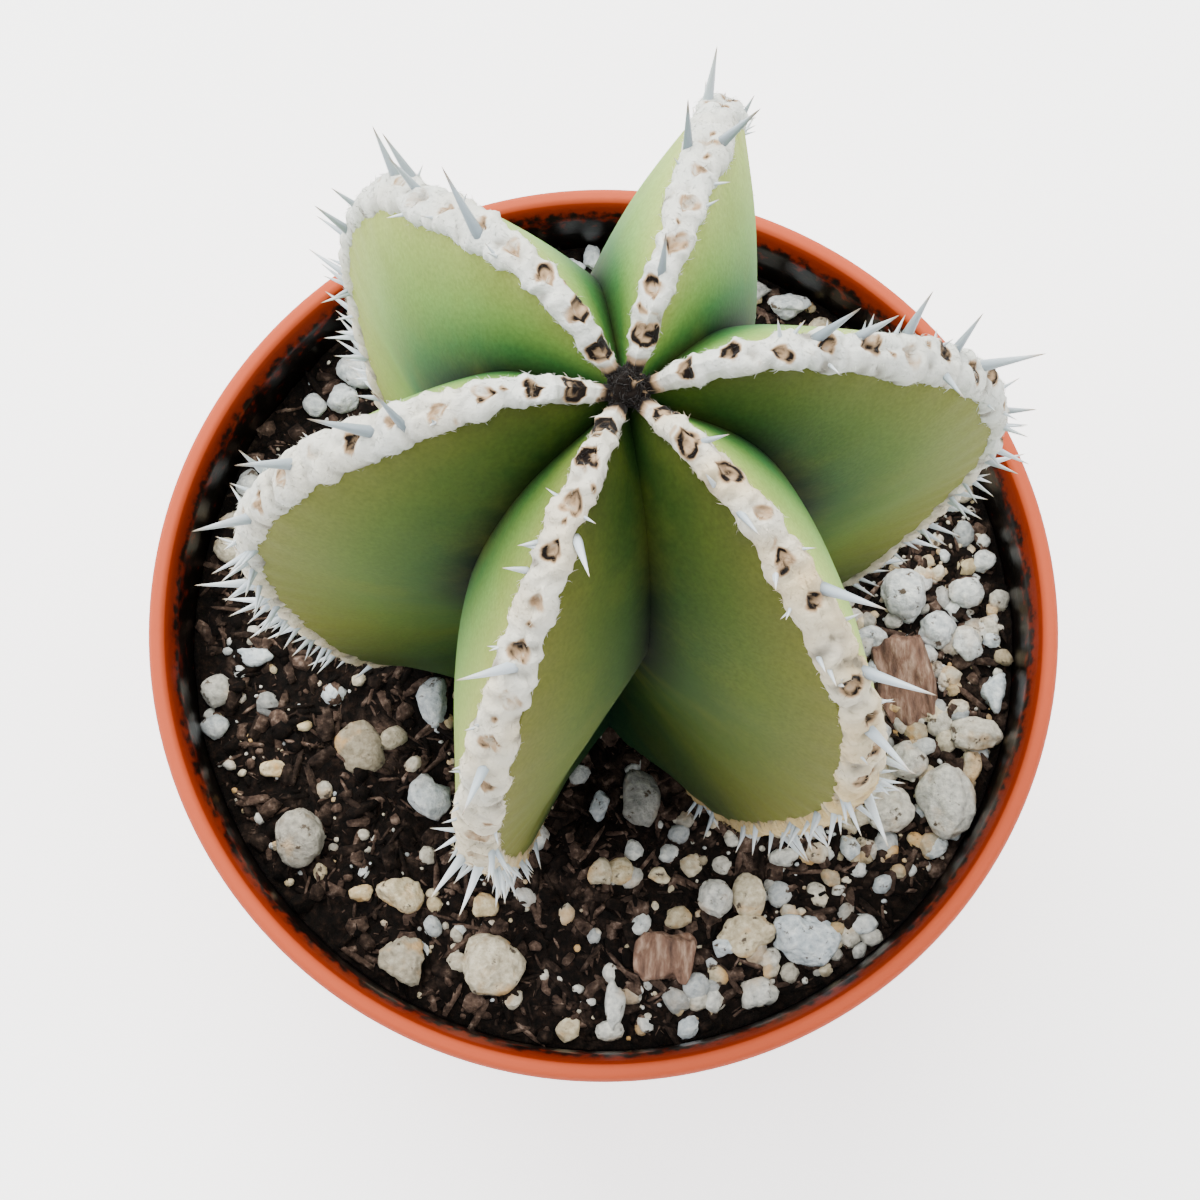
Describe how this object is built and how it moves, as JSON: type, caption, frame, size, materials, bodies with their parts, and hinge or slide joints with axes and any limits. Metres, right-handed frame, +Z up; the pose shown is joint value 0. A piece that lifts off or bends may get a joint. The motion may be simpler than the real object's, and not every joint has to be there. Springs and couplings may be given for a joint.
{
  "type": "potted columnar cactus",
  "caption": "Young columnar cactus with deep ribs, woolly white crests and short spines, growing in gritty mix in a round tapered plastic nursery pot.",
  "frame": {"origin": "centre of the pot's underside, on the surface it stands on", "axes": "+Z up, -Y towards the viewer, +X to the viewer's right"},
  "size_m": [0.102, 0.102, 0.1686],
  "materials": {
    "terracotta_plastic": "satin",
    "potting_mix": "rough",
    "cactus_skin": "satin",
    "areole_wool": "felted",
    "crown_wool": "felted",
    "spine": "satin",
    "pumice": "rough",
    "bark": "rough"
  },
  "bodies": {
    "root": {"pot": "terracotta_plastic", "potting_mix": "potting_mix", "cactus_stem": "cactus_skin", "crown_tuft": "crown_wool", "rib_1_wool": "areole_wool", "rib_1_spine_1": "spine", "rib_1_spine_2": "spine", "rib_1_spine_3": "spine", "rib_1_spine_4": "spine", "rib_2_wool": "areole_wool", "rib_2_spine_1": "spine", "rib_2_spine_2": "spine", "rib_2_spine_3": "spine", "rib_2_spine_4": "spine", "rib_3_wool": "areole_wool", "rib_3_spine_1": "spine", "rib_3_spine_2": "spine", "rib_3_spine_3": "spine", "rib_3_spine_4": "spine", "rib_4_wool": "areole_wool", "rib_4_spine_1": "spine", "rib_4_spine_2": "spine", "rib_4_spine_3": "spine", "rib_4_spine_4": "spine", "rib_5_wool": "areole_wool", "rib_5_spine_1": "spine", "rib_5_spine_2": "spine", "rib_5_spine_3": "spine", "rib_5_spine_4": "spine", "rib_6_wool": "areole_wool", "rib_6_spine_1": "spine", "rib_6_spine_2": "spine", "rib_6_spine_3": "spine", "rib_6_spine_4": "spine", "stone_front_left": "pumice", "stone_left_grey": "pumice", "stone_front_yellow": "pumice", "stone_front_tan": "pumice", "stone_front_pebble": "pumice", "stone_front_cream": "pumice", "stone_front_slab": "pumice", "stone_front_blue": "pumice", "stone_right_round": "pumice", "stone_right_white": "pumice", "stone_right_cream": "pumice", "stone_right_large": "pumice", "stone_right_front": "pumice", "stone_back_white": "pumice", "bark_chip_right": "bark", "bark_chip_front": "bark"}
  },
  "joints": []
}
